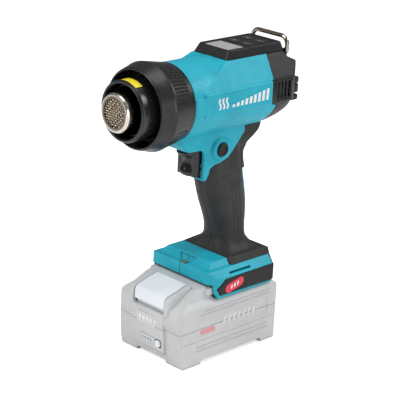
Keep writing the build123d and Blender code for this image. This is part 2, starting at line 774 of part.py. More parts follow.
# --- Display ---------------------------------------------------------------------------------------
DISPLAY_TOP = 268.3
display_rear = 64.0
button_places = [(x, y) for y in (30, 46) for x in (-7.2, 7.2)]
with BuildPart() as display_housing:
    with BuildSketch(Plane.XY.offset(CROWN_Z)):
        with Locations((0, (display_rear - 6) / 2)):
            RectangleRounded(2 * CROWN_X, display_rear + 6, 3)
    with BuildSketch(Plane.XY.offset(DISPLAY_TOP)):
        with Locations((0, (display_rear - 3.5) / 2)):
            RectangleRounded(37.6, display_rear - 1, 3)
    loft()
    fillet(display_housing.faces().sort_by(Axis.Z)[-1].edges(), 1.1)
    # Shallow panel on top, and the window's seat in it.
    add(block(-16.2, 16.2, -0.4, 58, DISPLAY_TOP - 0.6, DISPLAY_TOP + 2, 2), mode=Mode.SUBTRACT)
    add(block(-14, 14, 1, 20, 266.2, DISPLAY_TOP, 1), mode=Mode.SUBTRACT)
    add(block(-12.6, 12.6, 2.4, 18.6, 260, DISPLAY_TOP, 0.8), mode=Mode.SUBTRACT)
    add(block(-17, 17, -1.5, display_rear - 5, CROWN_Z - 1, 265.4, 1), mode=Mode.SUBTRACT)
    with BuildSketch(Plane.XY.offset(264)):
        with Locations(*button_places):
            RectangleRounded(11.2, 8.2, 3)
    extrude(amount=8, mode=Mode.SUBTRACT)
write(display_housing, "display_housing")

with BuildPart() as display_window:
    add(block(-13.9, 13.9, 1.1, 19.9, 266.2, 267.6, 0.9))
write(display_window, "display_window")

with BuildPart() as display_panel:
    add(block(-13.6, 13.6, 1.6, 19.4, 263.4, 265.3))
write(display_panel, "display_panel")

with BuildPart() as display_board:
    add(block(-16, 16, 0, 57, 261.2, 262.6))
    for x, y in button_places:
        add(block(x - 2.2, x + 2.2, y - 2.2, y + 2.2, 262.6, 263.3))
write(display_board, "display_board")

button_names = ["heat_up_button", "heat_down_button", "air_up_button", "air_down_button"]
for name, (x, y) in zip(button_names, button_places):
    with BuildPart() as key:
        add(block(x - 5.5, x + 5.5, y - 4, y + 4, 265.6, 268.4, 2.9))
        fillet(key.faces().sort_by(Axis.Z)[-1].edges(), 0.6)
        add(block(x - 1.4, x + 1.4, y - 1.4, y + 1.4, 264.1, 265.6))
    write(key, name)

# --- Trigger, switch and lock button ----------------------------------------------------------------
# Finger pad of the trigger at each height: how far its rounded front reaches.
pad_sections = [(160, -30), (163.5, -32.6), (172, -29.6), (178, -33), (180.6, -36.6), (182.4, -36.2)]
with BuildPart() as trigger:
    for z, front in pad_sections:
        with BuildSketch(Plane.XY.offset(z)):
            with Locations((0, front + 13)):
                RectangleRounded(17.4, 26, 8.6)
    loft()
    add(block(-30, 30, TRIGGER_REAR, 20, 150, 190), mode=Mode.SUBTRACT)
    # Body that slides in the housing, hollow behind the pad.
    with BuildSketch(Plane.XY.offset(160)):
        with Locations((0, (TRIGGER_REAR - 28) / 2)):
            RectangleRounded(2 * TRIGGER_X, TRIGGER_REAR + 28, 2.6)
    extrude(amount=24.2)
    add(block(-8.6, 8.6, -26.4, TRIGGER_REAR + 2, 162, 182.2), mode=Mode.SUBTRACT)
    add(block(-9.6, 9.6, -23, TRIGGER_REAR, 160, 184.2))
    with BuildSketch(across(-6.5)):
        with Locations((0, 168)):
            Circle(2.5)
    extrude(amount=15)
write(trigger, "trigger")

with BuildPart() as trigger_switch:
    add(block(-8.5, 8.5, -2.4, 20.6, 146.5, 172.4, 1))
    with BuildSketch(across(-3)):
        with Locations((0, 168)):
            Circle(2.5 + FIT)
    extrude(amount=-12, mode=Mode.SUBTRACT)
    for x in (-4.5, 4.5):
        add(block(x - 1.4, x + 1.4, 12, 17, 143.5, 146.5))
write(trigger_switch, "trigger_switch")

with BuildPart() as trigger_spring:
    add(coil(3.5, 0.4, 17.4, 7, Location((0, -2.9, 168), (90, 0, 0))))
write(trigger_spring, "trigger_spring")

with BuildPart() as lock_button:
    add(lying_rod(-18.2, 22, BUTTON_Y, BUTTON_Z, BUTTON_R))
    chamfer(lock_button.edges().filter_by(GeomType.CIRCLE), 0.7)
    with BuildSketch(Plane.YZ.offset(21.4)):
        with Locations((BUTTON_Y, BUTTON_Z)):
            Circle(3.9)
    extrude(amount=2, mode=Mode.SUBTRACT)
write(lock_button, "lock_button")

# --- Foot: bumpers, badges, lamp and electronics ------------------------------------------------------
skin = 1.9  # thickness of a bumper
for name, side in (("left_bumper", 1), ("right_bumper", -1)):
    with BuildPart() as bumper:
        with BuildSketch(Plane.YZ.offset(side * 38.4)):
            with BuildLine():
                Polyline(*bumper_outline, close=True)
            make_face()
        extrude(amount=side * skin)
        outer = bumper.faces().sort_by(Axis.X)[-1 if side > 0 else 0]
        chamfer(outer.edges(), 0.9)
        # It wraps round the back of the foot.
        with BuildSketch(across(48)):
            with BuildLine():
                Polyline(
                    (side, 58.3),
                    (side * 38.4, 58.3),
                    (side * 38.4, 73.6),
                    (side * 33.6, 80.8),
                    (side, 80.8),
                    close=True,
                )
            make_face()
        extrude(amount=48 - FOOT_REAR)
        # Seat of the badge.
        with BuildSketch(Plane.YZ.offset(side * (38.4 + skin))):
            with Locations((-2, 65.6)):
                SlotOverall(23, 8.6, rotation=14)
        extrude(amount=-side * 0.5, mode=Mode.SUBTRACT)
    write(bumper, name)

with BuildPart() as foot_badges:
    for side in (-1, 1):
        with BuildSketch(Plane.YZ.offset(side * (37.9 + skin))):
            with Locations((-2, 65.6)):
                SlotOverall(22.6, 8.2, rotation=14)
        extrude(amount=side * 0.7)
write(foot_badges, "foot_badges")

with BuildPart() as lamp_lens:
    with BuildSketch(Plane.XY.offset(77.4)):
        with Locations((0, -25.2)):
            RectangleRounded(5, 5, 1.2)
    extrude(amount=3.4)
    fillet(lamp_lens.faces().sort_by(Axis.Z)[-1].edges(), 0.9)
write(lamp_lens, "lamp_lens")

with BuildPart() as lamp_board:
    add(block(-6, 6, -27.2, -22.2, 75.2, 76.2))
    add(block(-1.7, 1.7, -26.9, -23.5, 76.2, 77.2))
write(lamp_board, "lamp_board")

with BuildPart() as controller_tray:
    add(block(-30.8, 30.8, -12.8, 34, FLOOR_HIGH + 0.2, 74))
    add(block(-20.4, 20.4, 3.6, 40, 70, 78), mode=Mode.SUBTRACT)
write(controller_tray, "controller_tray")

with BuildPart() as controller_board:
    add(block(-26, 26, -12.6, 2.6, 74.1, 75.5))
    add(block(-22, -6, -11, -3, 75.5, 78.2, 1))
    add(block(2, 20, -12, -2, 75.5, 79.4, 2))
write(controller_board, "controller_board")

blade_x = [-14, -5, 5, 14]
with BuildPart() as terminal_block:
    add(block(-19.6, 19.6, 4.4, 33.6, FLOOR_LOW - 0.9, 76))
    with BuildSketch(Plane.XY.offset(60)):
        with Locations(*[(x, 19) for x in blade_x]):
            Rectangle(1.1, 17)
    extrude(amount=20, mode=Mode.SUBTRACT)
write(terminal_block, "terminal_block")

with BuildPart() as terminal_blades:
    for x in blade_x:
        add(block(x - 0.5, x + 0.5, 10.6, 27.4, 61.4, 77.6))
write(terminal_blades, "terminal_blades")

with BuildPart() as power_leads:
    for x in (-4, 0, 4):
        with BuildLine() as route:
            Spline(
                (x, 26, 80),
                (x, 26, 110),
                (x, 25.9, 140),
                (x, 24.2, 160),
                (x, 22.8, 172),
                (x, 16, 183),
                (x, 10, 196),
                tangents=((0, 0, 1), (0, -0.2, 1)),
            )
        with BuildSketch(Plane((x, 26, 80), z_dir=(0, 0, 1))):
            Circle(1.2)
        sweep()
write(power_leads, "power_leads")

# --- Battery pack ----------------------------------------------------------------------------------------
PILLAR_X = 34.0
pack_side = [
    (-PACK_Y, 0),
    (-61, 8),
    (-63.5, 30),
    (-66, 40),
    (-63.5, 51),
    (-58.5, 54.6),
    (-47, 61.2),
    (-37.7, 65.6),
    (-29.2, 68.3),
    (-21.4, SHOULDER_Z),
    (50.8, SHOULDER_Z),
    (55.5, 52.4),
    (58.4, 46),
    (PACK_Y, 38),
    (PACK_Y, 0),
]
with BuildPart() as pack_outside:
    with BuildSketch(across(PACK_Y)) as front_view:
        with BuildLine():
            Polyline(
                (-PACK_X, 0),
                (-PACK_X, SHOULDER_Z - 3),
                (-PACK_X + 2.4, SHOULDER_Z),
                (-PILLAR_X, SHOULDER_Z + 2),
                (-PILLAR_X + 2, 70),
                (PILLAR_X - 2, 70),
                (PILLAR_X, SHOULDER_Z + 2),
                (PACK_X - 2.4, SHOULDER_Z),
                (PACK_X, SHOULDER_Z - 3),
                (PACK_X, 0),
                close=True,
            )
        make_face()
    extrude(amount=2 * PACK_Y + 8)
    add(side_prism(pack_side, 60), mode=Mode.INTERSECT)
    with BuildSketch(Plane.XY):
        with Locations((0, -3.5)):
            RectangleRounded(2 * PACK_X, 2 * PACK_Y + 7, 7)
    extrude(amount=80, mode=Mode.INTERSECT)
    # Cheeks beside the release button.
    add(side_prism([(-60, 44), (-66, 46), (-66, 51), (-65, 59), (-62.6, 62), (-38.6, 68.2), (-38, 44)], 24))
    # Label face that stands forward between the pillars, and the feet.
    add(side_prism([(-58, 9), (-64.6, 11), (-67, 40), (-66.2, 46.6), (-58, 46.6)], 20))
    with BuildSketch(Plane.XY):
        with Locations((-PACK_X, 0), (PACK_X, 0)):
            Rectangle(14, 74)
        with Locations((0, -PACK_Y), (0, PACK_Y)):
            Rectangle(36, 22)
    extrude(amount=3.6, mode=Mode.SUBTRACT)
    # Recess between the pillars for the release button.
    add(block(-LATCH_X - 0.5, LATCH_X + 0.5, -75, -37.6, 46.6, 80), mode=Mode.SUBTRACT)

with BuildPart() as tower:
    add(block(-RAIL_X + 0.2, RAIL_X - 0.2, -30.9, 43.2, SKIRT_LOW + 4.7, 66.6))
    add(block(-RAIL_X + 5, RAIL_X - 5, -30.9, 43.2, SHOULDER_Z - 0.5, SKIRT_LOW + 4.7))

with BuildPart() as pack_inside:
    add(block(-PACK_X + 2.2, PACK_X - 2.2, -57.5, 56.2, 2.4, PACK_SPLIT, 5))
    add(block(-PACK_X + 2.2, PACK_X - 2.2, -57.5, 54.4, PACK_SPLIT - 1, 44.2, 5))
    add(block(-PACK_X + 4, PACK_X - 4, -36, 48, 44.2, SHOULDER_Z - 2.2, 4))
    add(block(-RAIL_X + 7.2, RAIL_X - 7.2, -30, 41, SHOULDER_Z - 3, 64.4))

pack_screws_at = [(x, y) for x in (-34.4, 34.4) for y in (-54, 51.8)]
with BuildPart() as pack_case:
    add(pack_outside.part)
    add(tower.part)
    add(pack_inside.part, mode=Mode.SUBTRACT)
    # Corner posts for the screws.
    with BuildPart(mode=Mode.PRIVATE) as posts:
        with BuildSketch(Plane.XY.offset(1)):
            with Locations(*pack_screws_at):
                Circle(3.6)
        extrude(amount=43.2)
        add(pack_outside.part, mode=Mode.INTERSECT)
    add(posts.part)
    with BuildSketch(Plane.XY):
        with Locations(*pack_screws_at):
            Circle(1.25)
    extrude(amount=41, mode=Mode.SUBTRACT)
    with BuildSketch(Plane.XY):
        with Locations(*pack_screws_at):
            Circle(2.7)
    extrude(amount=9, mode=Mode.SUBTRACT)
    # Slots that take the tool's blades, open to the back.
    for x in blade_x:
        add(block(x - 1.9, x + 1.9, 8, 50, 60.6, 70), mode=Mode.SUBTRACT)
    # Sunken band and groove along each side.
    for side in (-1, 1):
        band = sorted((side * (PACK_X - 0.8), side * (PACK_X + 2)))
        add(block(*band, -44, 44, 25.5, 42), mode=Mode.SUBTRACT)
        add(block(*band, -70, 70, PACK_SPLIT - 10.9, PACK_SPLIT - 10.1), mode=Mode.SUBTRACT)
    # Seats of the gauge window and its button, and room for the latch and its spring.
    add(side_prism([(-72, 15), (-72, 22), (-63.4, 22), (-62.8, 15)], 9), mode=Mode.SUBTRACT)
    add(block(10.6, 17.4, -72, -57, 15, 21.8), mode=Mode.SUBTRACT)
    add(block(-LATCH_X - 0.5, LATCH_X + 0.5, -62.2, -58.8, 38.6, 47), mode=Mode.SUBTRACT)

above_split = block(-60, 60, -90, 90, PACK_SPLIT, 100)
with BuildPart() as pack_upper_case:
    add(pack_case.part)
    add(above_split, mode=Mode.INTERSECT)
write(pack_upper_case, "pack_upper_case")
with BuildPart() as pack_lower_case:
    add(pack_case.part)
    add(above_split, mode=Mode.SUBTRACT)
write(pack_lower_case, "pack_lower_case")

with BuildPart() as pack_screws:
    with BuildSketch(Plane.XY.offset(6.6)):
        with Locations(*pack_screws_at):
            Circle(2.6)
    extrude(amount=2.3)
    with BuildSketch(Plane.XY.offset(8.9)):
        with Locations(*pack_screws_at):
            Circle(1.2)
    extrude(amount=29)
write(pack_screws, "pack_screws")

lower_row = 2.7 + CELL_R  # height of the lower cells' axes
cell_columns = [CELLS_Y + CELL_PITCH * column for column in range(-2, 3)]
cell_places = [(y, z) for y in cell_columns for z in (lower_row, lower_row + CELL_PITCH)]
with BuildPart() as battery_cells:
    with BuildSketch(Plane.YZ.offset(-CELL_LENGTH / 2)):
        with Locations(*cell_places):
            Circle(CELL_R)
    extrude(amount=CELL_LENGTH)
write(battery_cells, "battery_cells")

with BuildPart() as cell_frames:
    for side in (-1, 1):
        with BuildSketch(Plane.YZ.offset(side * 20)):
            with Locations((CELLS_Y, 22)):
                Rectangle(5 * CELL_PITCH + 1, 38)
            with Locations(*cell_places):
                Circle(CELL_R + 0.05, mode=Mode.SUBTRACT)
        extrude(amount=side * 8)
write(cell_frames, "cell_frames")

with BuildPart() as cell_links:
    for side in (-1, 1):
        shift = 0 if side > 0 else 1
        for column in range(-2 + shift, 2, 2):
            with BuildSketch(Plane.YZ.offset(side * (CELL_LENGTH / 2 + 0.05))):
                with Locations((CELLS_Y + CELL_PITCH * (column + 0.5), lower_row + CELL_PITCH / 2)):
                    RectangleRounded(CELL_PITCH + 9, CELL_PITCH + 9, 3)
            extrude(amount=side * 0.3)
write(cell_links, "cell_links")

with BuildPart() as pack_board:
    add(block(-27, 27, -29, 40, 45.4, 46.8))
    add(block(-20, -4, -24, -12, 46.8, 50, 1))
write(pack_board, "pack_board")

with BuildPart() as pack_contacts:
    for x in blade_x:
        for side in (-1, 1):
            leaf = sorted((x + side * 0.75, x + side * 1.45))
            add(block(*leaf, 12, 25, 60.65, 65))
write(pack_contacts, "pack_contacts")

button_side = [
    (-62.4, 62.2),
    (-64.4, 59),
    (-65, 50.8),
    (-61.4, 50.8),
    (-61.4, 44),
    (-59.2, 44),
    (-59.2, 57),
    (-38.6, 63),
    (-38.6, 68.4),
]
with BuildPart() as release_button:
    add(side_prism(button_side, LATCH_X))
    # Catch that rises behind the button.
    add(block(-9, 9, -40.8, -38.6, 52, 68.4))
write(release_button, "release_button")

with BuildPart() as latch_spring:
    add(coil(2.6, 0.4, 11, 6, Location((0, -50, 47.1))))
write(latch_spring, "latch_spring")

with BuildPart() as gauge_window:
    add(side_prism([(-64.9, 15.2), (-65.6, 21.8), (-63.6, 21.8), (-63, 15.2)], 8.8))
write(gauge_window, "gauge_window")

with BuildPart() as check_button:
    with BuildSketch(across(-60)):
        with Locations((14, 18.4)):
            Circle(3.1)
    extrude(amount=6.4)
write(check_button, "check_button")
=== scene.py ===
"""Looks of the cordless heat gun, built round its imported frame. Metres, in the row frame."""

import json
import math

import bmesh
import bpy
from mathutils import Matrix, Vector


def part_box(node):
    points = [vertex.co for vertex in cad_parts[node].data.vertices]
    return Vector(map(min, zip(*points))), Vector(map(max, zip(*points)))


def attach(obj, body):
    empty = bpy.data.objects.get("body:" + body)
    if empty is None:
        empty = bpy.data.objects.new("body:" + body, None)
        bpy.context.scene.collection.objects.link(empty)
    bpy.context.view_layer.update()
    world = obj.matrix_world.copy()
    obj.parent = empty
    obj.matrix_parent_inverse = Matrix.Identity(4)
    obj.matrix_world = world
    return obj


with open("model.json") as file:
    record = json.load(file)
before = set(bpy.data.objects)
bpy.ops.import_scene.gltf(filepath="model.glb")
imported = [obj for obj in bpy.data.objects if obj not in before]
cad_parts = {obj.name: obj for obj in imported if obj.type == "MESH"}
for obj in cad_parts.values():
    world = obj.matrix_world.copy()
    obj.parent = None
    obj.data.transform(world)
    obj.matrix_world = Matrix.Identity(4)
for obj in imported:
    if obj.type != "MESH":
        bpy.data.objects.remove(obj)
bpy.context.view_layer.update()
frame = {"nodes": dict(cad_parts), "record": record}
cad = frame["nodes"]
MM = 0.001
SIDES = (("left", 1), ("right", -1))  # each side's name and the sign of its x
outlet_low, outlet_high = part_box("outlet_nozzle")
OUTLET_FRONT = outlet_low.y
AXIS_Z = (outlet_low.z + outlet_high.z) / 2  # height of the barrel axis


# --- Node materials -------------------------------------------------------------------------------
class Shader:
    """A node material under construction: a principled shader and helpers that add nodes to it."""

    def __init__(self, name):
        self.material = bpy.data.materials.new(name)
        self.material.use_nodes = True
        self.tree = self.material.node_tree
        self.main = next(n for n in self.tree.nodes if n.type == "BSDF_PRINCIPLED")
        self.place = self.add("ShaderNodeTexCoord").outputs["Object"]

    def add(self, kind, **settings):
        node = self.tree.nodes.new(kind)
        for key, value in settings.items():
            setattr(node, key, value)
        return node

    def link(self, source, target):
        self.tree.links.new(source, target)

    def set(self, **values):
        for key, value in values.items():
            self.main.inputs[key.replace("_", " ")].default_value = value

    def noise(self, size_mm, detail=2.0, stretch=(1, 1, 1)):
        """Noise whose lumps are about size_mm across."""
        mapping = self.add("ShaderNodeMapping")
        mapping.inputs["Scale"].default_value = [s / (size_mm * MM) for s in stretch]
        self.link(self.place, mapping.inputs["Vector"])
        noise = self.add("ShaderNodeTexNoise")
        noise.inputs["Scale"].default_value = 1.0
        noise.inputs["Detail"].default_value = detail
        self.link(mapping.outputs["Vector"], noise.inputs["Vector"])
        return noise.outputs["Fac"]

    def remap(self, source, low, high, to_low=0.0, to_high=1.0):
        node = self.add("ShaderNodeMapRange")
        for key, value in (("From Min", low), ("From Max", high), ("To Min", to_low), ("To Max", to_high)):
            node.inputs[key].default_value = value
        self.link(source, node.inputs["Value"])
        return node.outputs["Result"]

    def math(self, operation, a, b=None):
        node = self.add("ShaderNodeMath", operation=operation)
        for socket, value in zip(node.inputs, (a, b)):
            if value is None:
                continue
            if isinstance(value, (int, float)):
                socket.default_value = value
            else:
                self.link(value, socket)
        return node.outputs[0]

    def mix(self, factor, a, b):
        """Colour between a and b, each a colour or a socket."""
        node = self.add("ShaderNodeMix", data_type="RGBA")
        self.link(factor, node.inputs["Factor"])
        for socket, value in ((node.inputs["A"], a), (node.inputs["B"], b)):
            if isinstance(value, tuple):
                socket.default_value = (*value, 1.0)
            else:
                self.link(value, socket)
        return node.outputs["Result"]

    def coordinate(self, axis):
        split = self.add("ShaderNodeSeparateXYZ")
        self.link(self.place, split.inputs["Vector"])
        return split.outputs[axis]

    def bump(self, heights, bevel_mm=0.0):
        """Chains bumps from (height socket, strength, distance in mm), over softened edges."""
        normal = None
        if bevel_mm:
            bevel = self.add("ShaderNodeBevel", samples=4)
            bevel.inputs["Radius"].default_value = bevel_mm * MM
            normal = bevel.outputs["Normal"]
        for height, strength, distance in heights:
            node = self.add("ShaderNodeBump")
            node.inputs["Strength"].default_value = strength
            node.inputs["Distance"].default_value = distance * MM
            self.link(height, node.inputs["Height"])
            if normal is not None:
                self.link(normal, node.inputs["Normal"])
            normal = node.outputs["Normal"]
        self.link(normal, self.main.inputs["Normal"])

    def crevices(self, reach_mm):
        """1 in the open, less in grooves and corners."""
        shade = self.add("ShaderNodeAmbientOcclusion", samples=4)
        shade.inputs["Distance"].default_value = reach_mm * MM
        return shade.outputs["AO"]

    def edges(self, radius_mm):
        """1 on outside edges, 0 on flat ground."""
        bevel = self.add("ShaderNodeBevel", samples=4)
        bevel.inputs["Radius"].default_value = radius_mm * MM
        geometry = self.add("ShaderNodeNewGeometry")
        dot = self.add("ShaderNodeVectorMath", operation="DOT_PRODUCT")
        self.link(bevel.outputs["Normal"], dot.inputs[0])
        self.link(geometry.outputs["Normal"], dot.inputs[1])
        return self.remap(dot.outputs["Value"], 0.995, 0.93)


def plastic(
    name, color, roughness, grain=0.5, variation=0.08, wear=0.25, gloss=0.42, soften=0.35, seam=False
):
    """Moulded plastic: a fine spark-eroded grain, cloudy gloss, slight scuffs, paler worn edges and
    painted shade in the grooves.

    Edges are softened over soften mm. With seam, the parting line in the plane x = 0 shows.
    """
    s = Shader(name)
    cloud = s.noise(28, 3)
    scuff = s.noise(7, 5, stretch=(1, 1, 2.4))
    dark = tuple(c * (1 - variation) for c in color)
    light = tuple(min(1.0, c * (1 + variation) + 0.004) for c in color)
    base = s.mix(s.remap(cloud, 0.35, 0.65), dark, light)
    worn = s.math("MULTIPLY", s.edges(0.5), s.remap(scuff, 0.45, 0.7, 0.0, wear))
    pale = tuple(min(1.0, c * 1.35 + 0.05) for c in color)
    base = s.mix(worn, base, pale)
    heights = [(s.noise(0.35, 2), grain * 0.35, 0.05), (scuff, grain * 0.08, 0.12)]
    if seam:
        near = s.remap(s.math("ABSOLUTE", s.coordinate("X")), 0.00008, 0.0003)
        base = s.mix(near, tuple(c * 0.45 for c in color), base)
        heights.append((near, 0.5, 0.25))
    # Painted shade, with some dust, darkens the base colour in grooves and corners.
    base = s.mix(s.remap(s.crevices(2.2), 0.35, 0.85), tuple(c * 0.42 for c in color), base)
    s.link(base, s.main.inputs["Base Color"])
    s.link(s.remap(scuff, 0.3, 0.75, roughness - 0.05, roughness + 0.09), s.main.inputs["Roughness"])
    s.set(Specular_IOR_Level=gloss)
    s.bump(heights, bevel_mm=soften)
    return s.material


def rubber(name, color):
    """Soft overmould: matte and pebbled, with a dusty sheen and shinier spots where hands rub."""
    s = Shader(name)
    rub = s.noise(18, 3)
    base = s.mix(s.remap(rub, 0.4, 0.65), color, tuple(c * 1.25 + 0.003 for c in color))
    s.link(base, s.main.inputs["Base Color"])
    s.link(s.remap(rub, 0.35, 0.7, 0.62, 0.47), s.main.inputs["Roughness"])
    s.set(Sheen_Weight=0.07, Sheen_Roughness=0.5)
    s.bump([(s.noise(0.5, 2), 0.35, 0.09), (s.noise(3.5, 3), 0.08, 0.15)], bevel_mm=0.5)
    return s.material


def turned_metal(name, color, roughness, behind_lip=None, dull=None, lines=1.0):
    """Metal turned on a lathe: fine rings round the barrel axis and smudges.

    Given a colour for behind the lip and a dull colour, it turns darker behind its bright lip and is dull
    on its inner face.
    """
    s = Shader(name)
    rings = s.noise(0.22, 3, stretch=(0.02, 1, 0.02))
    smudge = s.noise(9, 4)
    base = s.mix(s.remap(smudge, 0.3, 0.7), tuple(c * 0.82 for c in color), color)
    if behind_lip:
        # Both borders run from where the change starts to where it is complete.
        darken_start, darken_end = OUTLET_FRONT + 3.3 * MM, OUTLET_FRONT + 6.9 * MM
        dull_start, dull_end = 14.6 * MM, 13.8 * MM
        # Behind the lip the colour turns dark along y, over an uneven border.
        uneven = s.remap(s.noise(6, 3), 0.3, 0.7, -0.9 * MM, 0.9 * MM)
        back = s.math("ADD", s.coordinate("Y"), uneven)
        base = s.mix(s.remap(back, darken_start, darken_end), base, behind_lip)
        rise = s.math("SUBTRACT", s.coordinate("Z"), AXIS_Z)
        squares = s.math("ADD", s.math("POWER", s.coordinate("X"), 2.0), s.math("POWER", rise, 2.0))
        radius = s.math("SQRT", squares)
        base = s.mix(s.remap(radius, dull_start, dull_end), base, dull)
    s.link(base, s.main.inputs["Base Color"])
    cloud = s.remap(smudge, 0.3, 0.7, roughness - 0.04, roughness + 0.08)
    s.link(s.math("ADD", s.remap(rings, 0.3, 0.7, -0.06, 0.07), cloud), s.main.inputs["Roughness"])
    s.set(Metallic=1.0, Anisotropic=0.4)
    s.bump([(rings, 0.12 * lines, 0.05)], bevel_mm=0.2)
    return s.material


def drawn_metal(name, color, roughness):
    """Plated wire, strip or pressed sheet, with faint scratches."""
    s = Shader(name)
    scratch = s.noise(1.4, 5, stretch=(0.15, 1, 1))
    base = s.mix(s.remap(scratch, 0.35, 0.7), tuple(c * 0.9 for c in color), color)
    s.link(base, s.main.inputs["Base Color"])
    s.link(s.remap(scratch, 0.3, 0.75, roughness - 0.04, roughness + 0.08), s.main.inputs["Roughness"])
    s.set(Metallic=1.0)
    s.bump([(scratch, 0.03, 0.04)], bevel_mm=0.15)
    return s.material


def printed(name, color, roughness=0.35):
    """Printed film: a smooth top coat over a slightly uneven colour."""
    s = Shader(name)
    blotch = s.noise(4, 4)
    base = s.mix(s.remap(blotch, 0.3, 0.7), tuple(c * 0.93 for c in color), color)
    s.link(base, s.main.inputs["Base Color"])
    s.link(s.remap(blotch, 0.3, 0.7, roughness - 0.04, roughness + 0.08), s.main.inputs["Roughness"])
    s.set(Coat_Weight=0.3, Coat_Roughness=0.15)
    s.bump([(s.noise(0.6, 2), 0.06, 0.03)])
    return s.material


def ceramic(name, color):
    """Fired or pressed mineral: rough and speckled."""
    s = Shader(name)
    speck = s.noise(0.8, 4)
    base = s.mix(s.remap(speck, 0.3, 0.7), tuple(c * 0.8 for c in color), color)
    s.link(base, s.main.inputs["Base Color"])
    s.set(Roughness=0.85)
    s.bump([(speck, 0.3, 0.1)])
    return s.material


TEAL = (0.012, 0.400, 0.520)
STEEL = (0.90, 0.80, 0.70)
STEEL_BEHIND_LIP = (0.045, 0.036, 0.030)
DULL_STEEL = (0.22, 0.19, 0.155)
BLACK = (0.015, 0.014, 0.014)
DEEP_BLACK = (0.008, 0.008, 0.008)
finishes = {
    "housing": plastic("housing_plastic", TEAL, 0.42, grain=0.45, seam=True, gloss=0.32),
    "grip": rubber("grip_rubber", (0.014, 0.013, 0.013)),
    "black_plastic": plastic("black_plastic", BLACK, 0.40, grain=0.7, wear=0.35, gloss=0.30),
    "guard": plastic("guard_plastic", DEEP_BLACK, 0.26, grain=0.02, wear=0.1, gloss=0.65, soften=0),
    "outlet_steel": turned_metal("outlet_steel", STEEL, 0.20, STEEL_BEHIND_LIP, DULL_STEEL),
    "mesh_steel": turned_metal("mesh_steel", (0.80, 0.66, 0.50), 0.25, lines=0.3),
    "wire_steel": drawn_metal("wire_steel", (0.50, 0.43, 0.36), 0.16),
    "screw_steel": drawn_metal("screw_steel", (0.42, 0.42, 0.43), 0.35),
    "spring_steel": drawn_metal("spring_steel", (0.6, 0.6, 0.6), 0.25),
    "motor_steel": drawn_metal("motor_steel", (0.5, 0.5, 0.52), 0.35),
    "magnet": ceramic("magnet_ferrite", (0.05, 0.05, 0.055)),
    "mica": ceramic("mica_sheet", (0.55, 0.45, 0.3)),
    "ceramic": ceramic("heater_ceramic", (0.8, 0.76, 0.68)),
    "heating_wire": drawn_metal("heating_wire", (0.36, 0.3, 0.26), 0.5),
    "heat_plastic": plastic("heat_plastic", (0.06, 0.052, 0.045), 0.6),
    "grey_plastic": plastic("grey_plastic", (0.13, 0.135, 0.14), 0.5),
    "display_glass": printed("display_film", (0.47, 0.47, 0.46), 0.22),
    "circuit_board": printed("circuit_board", (0.02, 0.12, 0.05), 0.4),
    "copper": drawn_metal("copper_alloy", (0.75, 0.42, 0.22), 0.3),
    "cable": rubber("cable_jacket", (0.35, 0.02, 0.02)),
    "badge": printed("badge_film", (0.80, 0.022, 0.06)),
    "label": printed("label_film", (1.0, 0.78, 0.03)),
    "lamp": printed("lamp_lens", (0.16, 0.17, 0.12), 0.12),
    "pack": plastic("pack_plastic", (0.60, 0.60, 0.60), 0.42, grain=0.5, variation=0.04, wear=0.3),
    "pack_button": plastic("pack_button_plastic", (0.84, 0.88, 0.91), 0.38, grain=0.4, variation=0.03),
    "pack_window": printed("pack_window_film", (0.70, 0.71, 0.72), 0.25),
    "cell": printed("cell_wrap", (0.04, 0.12, 0.4), 0.3),
    "nickel": drawn_metal("nickel_strip", (0.7, 0.68, 0.62), 0.3),
}
white_ink = printed("white_ink", (0.86, 0.87, 0.87))
grey_ink = printed("grey_ink", (0.36, 0.36, 0.36))
pale_ink = printed("pale_ink", (0.74, 0.74, 0.74))
faded_red = printed("faded_red_film", (0.78, 0.30, 0.33))
led_off = printed("led_cover", (0.40, 0.41, 0.42), 0.2)
slot_of = {part["node"]: part["material_slot"] for part in frame["record"]["subparts"]}
for name, piece in cad.items():
    piece.data.materials.clear()
    piece.data.materials.append(finishes[slot_of[name]])
# Three pieces have a finish of their own within their material slot.
own_finishes = {
    "outlet_mesh": turned_metal("scaled_steel", (0.055, 0.036, 0.022), 0.6),
    "lock_ring": plastic("ring_plastic", BLACK, 0.29, grain=0.08, gloss=0.45, soften=0),
    "trigger": plastic("trigger_plastic", (0.012, 0.012, 0.012), 0.22, grain=0.1, gloss=0.6, soften=0),
}
for name, finish in own_finishes.items():
    cad[name].data.materials[0] = finish


# --- Rounded mouldings ------------------------------------------------------------------------------
def round_edges(voxel, passes, *names):
    """Remakes moulded nodes as a skin of voxel mm and relaxes it, so that their edges are round."""
    for name in names:
        modifiers = cad[name].modifiers
        weld = modifiers.new("weld", "WELD")
        weld.merge_threshold = 1e-6
        remesh = modifiers.new("remesh", "REMESH")
        remesh.mode = "VOXEL"
        remesh.voxel_size = voxel * MM
        remesh.use_smooth_shade = True
        relax = modifiers.new("relax", "SMOOTH")
        relax.factor = 0.5
        relax.iterations = passes


round_edges(0.45, 5, "left_housing", "right_housing", "left_grip", "right_grip", "rear_cover")
round_edges(0.40, 4, "display_housing", "guard_tube", "left_bumper", "right_bumper", "trigger")
round_edges(0.30, 5, "lock_ring")
round_edges(0.45, 5, "pack_upper_case", "pack_lower_case", "release_button")


# --- Prints, marks and the outlet's gauze ------------------------------------------------------------
def piece_from(bm, name, material, body, smooth=False):
    """Turns a bmesh into a finished piece that rides on a body."""
    bmesh.ops.recalc_face_normals(bm, faces=bm.faces)
    mesh = bpy.data.meshes.new(name)
    bm.to_mesh(mesh)
    bm.free()
    mesh.materials.append(material)
    if smooth:
        mesh.shade_smooth()
    piece = bpy.data.objects.new(name, mesh)
    bpy.context.scene.collection.objects.link(piece)
    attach(piece, body)
    return piece


